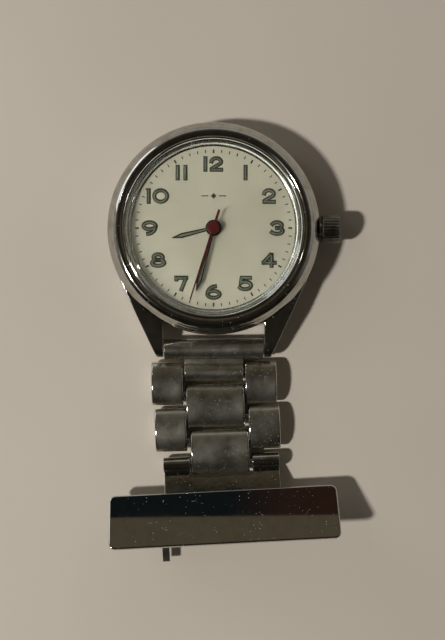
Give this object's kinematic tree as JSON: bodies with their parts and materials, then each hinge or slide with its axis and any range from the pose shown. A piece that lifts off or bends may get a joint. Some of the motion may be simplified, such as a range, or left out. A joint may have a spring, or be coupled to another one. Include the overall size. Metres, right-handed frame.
{
  "type": "fob watch",
  "caption": "Fob watch: round quartz watch head on a short linked metal strap that hangs from a brooch bar with a safety pin.",
  "frame": {"origin": "middle of the flat face of the case back, on which the watch lies", "axes": "+Z out of the dial, +Y to 12 o'clock, +X to 3 o'clock and the crown; the strap runs along -Y"},
  "size_m": [0.0368, 0.0697, 0.0087],
  "materials": {
    "polished_steel": "polished stainless steel",
    "brushed_steel": "satin stainless steel",
    "pin_steel": "drawn steel",
    "brass": "plain brass",
    "crystal_glass": "clear, polished",
    "cream_dial": "matt cream lacquer, printed",
    "black_hands": "black lacquer with a luminous inlay",
    "red_hand": "red lacquer",
    "white_nylon": "moulded nylon",
    "black_rubber": "matt",
    "green_board": "solder mask",
    "black_epoxy": "moulded epoxy",
    "copper_wire": "enamelled copper wire",
    "magnet": "sintered magnet on a brass pinion"
  },
  "bodies": {
    "case": {"case_body": "polished_steel", "bezel": "polished_steel", "crystal": "crystal_glass", "crystal_gasket": "white_nylon", "rehaut_ring": "polished_steel", "dial": "cream_dial", "movement_holder": "white_nylon", "main_plate": "brass", "train_bridge": "brass", "bridge_screws": "pin_steel", "circuit_board": "green_board", "quartz_can": "pin_steel", "timer_chip": "black_epoxy", "coil_core": "pin_steel", "coil_winding": "copper_wire", "stator": "pin_steel", "battery": "pin_steel", "battery_clip": "pin_steel", "case_back": "brushed_steel", "case_back_gasket": "black_rubber", "crown_tube": "pin_steel", "spring_bar_tube": "pin_steel", "spring_bar_spring": "pin_steel"},
    "minute_group": {"centre_wheel": "brass", "minute_hand": "black_hands"},
    "seconds_group": {"seconds_wheel": "brass", "seconds_hand": "red_hand"},
    "hour_group": {"hour_wheel": "brass", "hour_hand": "black_hands"},
    "third_group": {"third_wheel": "brass"},
    "intermediate_group": {"intermediate_wheel": "brass"},
    "rotor_group": {"rotor": "magnet"},
    "minute_wheel_group": {"minute_wheel": "brass"},
    "setting_wheel_group": {"setting_wheel": "brass"},
    "crown_slider": {"crown_gasket": "black_rubber"},
    "crown_group": {"crown": "brushed_steel", "stem": "pin_steel"},
    "clutch_group": {"clutch_wheel": "pin_steel"},
    "setting_lever_group": {"setting_lever": "pin_steel"},
    "yoke_group": {"yoke": "pin_steel"},
    "tip_left": {"spring_bar_tip_left": "pin_steel"},
    "tip_right": {"spring_bar_tip_right": "pin_steel"},
    "strap_end": {"end_link": "brushed_steel"},
    "strap_outer_1": {"outer_links_1": "brushed_steel", "link_pin_1": "pin_steel", "link_pin_2": "pin_steel"},
    "strap_centre_1": {"centre_link_1": "brushed_steel"},
    "strap_outer_2": {"outer_links_2": "brushed_steel", "link_pin_3": "pin_steel", "link_pin_4": "pin_steel"},
    "strap_centre_2": {"centre_link_2": "brushed_steel"},
    "brooch": {"hanger_plate": "polished_steel", "link_pin_5": "pin_steel", "brooch_bar": "polished_steel", "brooch_base": "pin_steel", "hinge_rivet": "pin_steel", "catch_hook": "pin_steel"},
    "pin_wire": {"brooch_pin": "pin_steel"},
    "safety_sleeve": {"catch_sleeve": "pin_steel"}
  },
  "joints": [
    {"name": "minute_hand_turn", "type": "hinge", "parent": "case", "child": "minute_group", "pos_m": [0, 0, 0.003], "axis": [0, 0, 1], "continuous": true},
    {"name": "seconds_hand_turn", "type": "hinge", "parent": "case", "child": "seconds_group", "pos_m": [0, 0, 0.003], "axis": [0, 0, 1], "continuous": true},
    {"name": "hour_hand_turn", "type": "hinge", "parent": "case", "child": "hour_group", "pos_m": [0, 0, 0.003], "axis": [0, 0, 1], "continuous": true},
    {"name": "third_wheel_turn", "type": "hinge", "parent": "case", "child": "third_group", "pos_m": [0.0017, -0.00294, 0.003], "axis": [0, 0, 1], "continuous": true},
    {"name": "intermediate_wheel_turn", "type": "hinge", "parent": "case", "child": "intermediate_group", "pos_m": [0.00329, 0.0012, 0.003], "axis": [0, 0, 1], "continuous": true},
    {"name": "rotor_turn", "type": "hinge", "parent": "case", "child": "rotor_group", "pos_m": [0.00449, 0.00328, 0.003], "axis": [0, 0, 1], "continuous": true},
    {"name": "minute_wheel_turn", "type": "hinge", "parent": "case", "child": "minute_wheel_group", "pos_m": [0.0024, 0, 0.003], "axis": [0, 0, 1], "continuous": true},
    {"name": "setting_wheel_turn", "type": "hinge", "parent": "case", "child": "setting_wheel_group", "pos_m": [0.0051, 0, 0.003], "axis": [0, 0, 1], "continuous": true},
    {"name": "crown_pull", "type": "slide", "parent": "case", "child": "crown_slider", "axis": [1, 0, 0], "range_m": [0, 0.0009]},
    {"name": "crown_turn", "type": "hinge", "parent": "crown_slider", "child": "crown_group", "pos_m": [0.018, 0, 0.00335], "axis": [1, 0, 0], "continuous": true},
    {"name": "clutch_slide", "type": "slide", "parent": "crown_group", "child": "clutch_group", "axis": [1, 0, 0], "range_m": [-0.0016, 0]},
    {"name": "setting_lever_turn", "type": "hinge", "parent": "case", "child": "setting_lever_group", "pos_m": [0.00958, -0.003, 0.004], "axis": [0, 0, 1], "range_deg": [-17.11, 0]},
    {"name": "yoke_turn", "type": "hinge", "parent": "case", "child": "yoke_group", "pos_m": [0.00713, 0.003, 0.004], "axis": [0, 0, 1], "range_deg": [-17.54, 0]},
    {"name": "left_tip_slide", "type": "slide", "parent": "case", "child": "tip_left", "axis": [1, 0, 0], "range_m": [0, 0.0008], "stiffness_N_per_m": 600, "springref_m": -0.001, "deforming": ["spring_bar_spring"]},
    {"name": "right_tip_slide", "type": "slide", "parent": "case", "child": "tip_right", "axis": [1, 0, 0], "range_m": [-0.0008, 0], "stiffness_N_per_m": 600, "springref_m": 0.001, "deforming": ["spring_bar_spring"]},
    {"name": "spring_bar_hinge", "type": "hinge", "parent": "case", "child": "strap_end", "pos_m": [0, -0.01902, 0.0023], "axis": [1, 0, 0], "range_deg": [-30, 30]},
    {"name": "link_hinge_1", "type": "hinge", "parent": "strap_end", "child": "strap_outer_1", "pos_m": [0.00003, -0.02263, 0.00164], "axis": [0.9998, 0.0175, 0], "range_deg": [-30, 30]},
    {"name": "link_hinge_2", "type": "hinge", "parent": "strap_outer_1", "child": "strap_centre_1", "pos_m": [0.0001, -0.0263, 0.00164], "axis": [0.9998, 0.0175, 0], "range_deg": [-30, 30]},
    {"name": "link_hinge_3", "type": "hinge", "parent": "strap_centre_1", "child": "strap_outer_2", "pos_m": [0.00044, -0.02996, 0.00164], "axis": [0.9994, 0.0349, 0], "range_deg": [-30, 30]},
    {"name": "link_hinge_4", "type": "hinge", "parent": "strap_outer_2", "child": "strap_centre_2", "pos_m": [0.00082, -0.03362, 0.00164], "axis": [0.9994, 0.0349, 0], "range_deg": [-30, 30]},
    {"name": "brooch_hinge", "type": "hinge", "parent": "strap_centre_2", "child": "brooch", "pos_m": [0.00123, -0.03728, 0.00164], "axis": [0.9986, 0.0523, 0], "range_deg": [-30, 60]},
    {"name": "brooch_pin_swing", "type": "hinge", "parent": "brooch", "child": "pin_wire", "pos_m": [0.0118, -0.04787, 0.002], "axis": [-0.0462, 0.8817, -0.4695], "range_deg": [-70, 0]},
    {"name": "catch_turn", "type": "hinge", "parent": "brooch", "child": "safety_sleeve", "pos_m": [-0.00618, -0.04881, 0.002], "axis": [0.9986, 0.0523, 0], "range_deg": [-50, 0]}
  ],
  "couplings": [
    {"joint": "minute_hand_turn", "follows": "seconds_hand_turn", "ratio": 0.016667},
    {"joint": "hour_hand_turn", "follows": "seconds_hand_turn", "ratio": 0.0013889},
    {"joint": "third_wheel_turn", "follows": "seconds_hand_turn", "ratio": -0.13333},
    {"joint": "intermediate_wheel_turn", "follows": "seconds_hand_turn", "ratio": -6},
    {"joint": "rotor_turn", "follows": "seconds_hand_turn", "ratio": 30},
    {"joint": "minute_wheel_turn", "follows": "seconds_hand_turn", "ratio": -0.0055556},
    {"joint": "setting_wheel_turn", "follows": "seconds_hand_turn", "ratio": 0.011111},
    {"joint": "clutch_slide", "follows": "crown_pull", "ratio": -1.7778},
    {"joint": "setting_lever_turn", "follows": "crown_pull", "rad_per_m": -330.87},
    {"joint": "yoke_turn", "follows": "crown_pull", "rad_per_m": -339.22}
  ]
}
